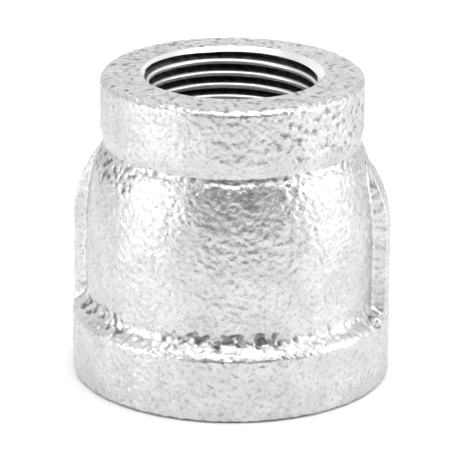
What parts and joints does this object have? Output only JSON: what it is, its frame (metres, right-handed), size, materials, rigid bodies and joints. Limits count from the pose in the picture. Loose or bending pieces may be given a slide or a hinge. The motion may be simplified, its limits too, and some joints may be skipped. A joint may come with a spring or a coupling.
{
  "type": "concentric reducer",
  "caption": "Bell-shaped threaded pipe reducer with a heavy band round each end, side ribs on the bell and an internal taper thread in each mouth.",
  "frame": {"origin": "centre of the large end's face, which is the bottom of the bounding box", "axes": "+Z along the pipe axis from the large end to the small end, X through the two ribs"},
  "size_m": [0.0458, 0.0458, 0.0443],
  "materials": {
    "zinc_coat": "hot-dip galvanised casting, bright silver with a fine pebbled skin",
    "cut_thread": "freshly cut iron thread, satin grey with fine tool lines"
  },
  "bodies": {
    "root": {"large_end_band": "zinc_coat", "bell": "zinc_coat", "rib_left": "zinc_coat", "rib_right": "zinc_coat", "small_end_band": "zinc_coat", "large_end_thread": "cut_thread", "small_end_thread": "cut_thread"}
  },
  "joints": []
}
